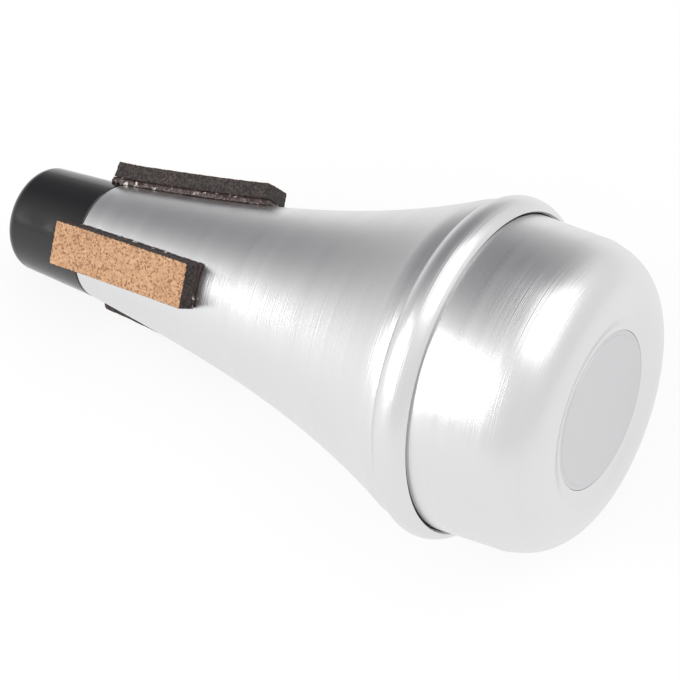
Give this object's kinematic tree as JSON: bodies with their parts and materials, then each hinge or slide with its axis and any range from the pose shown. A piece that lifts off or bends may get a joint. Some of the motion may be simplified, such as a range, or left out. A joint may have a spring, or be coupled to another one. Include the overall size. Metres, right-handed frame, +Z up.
{
  "type": "trumpet straight mute",
  "caption": "Flared aluminium straight mute with a dished end cup, rolled bead, plastic throat sleeve and glued cork strips.",
  "frame": {"origin": "bottom centre of the bounding box, on the surface that the mute lies on", "axes": "+X towards the closed end (the axis rises 10.5 degrees towards it), +Z up"},
  "size_m": [0.1674, 0.08, 0.0788],
  "materials": {
    "spun_aluminium": "fine spun, satin bright",
    "badge_aluminium": "satin",
    "black_plastic": "glossy",
    "agglomerated_cork": "sanded face, stained dark sides",
    "contact_glue": "dried, semi-gloss",
    "seam_sealant": "matte"
  },
  "bodies": {
    "root": {"cone_shell": "spun_aluminium", "end_cup": "spun_aluminium", "end_badge": "badge_aluminium", "throat_sleeve": "black_plastic", "sleeve_glue_ring": "contact_glue", "seam_sealant_ring": "seam_sealant", "cork_strip_under": "agglomerated_cork", "cork_strip_front": "agglomerated_cork", "cork_strip_back": "agglomerated_cork", "cork_glue_under": "contact_glue", "cork_glue_front": "contact_glue", "cork_glue_back": "contact_glue"}
  },
  "joints": []
}
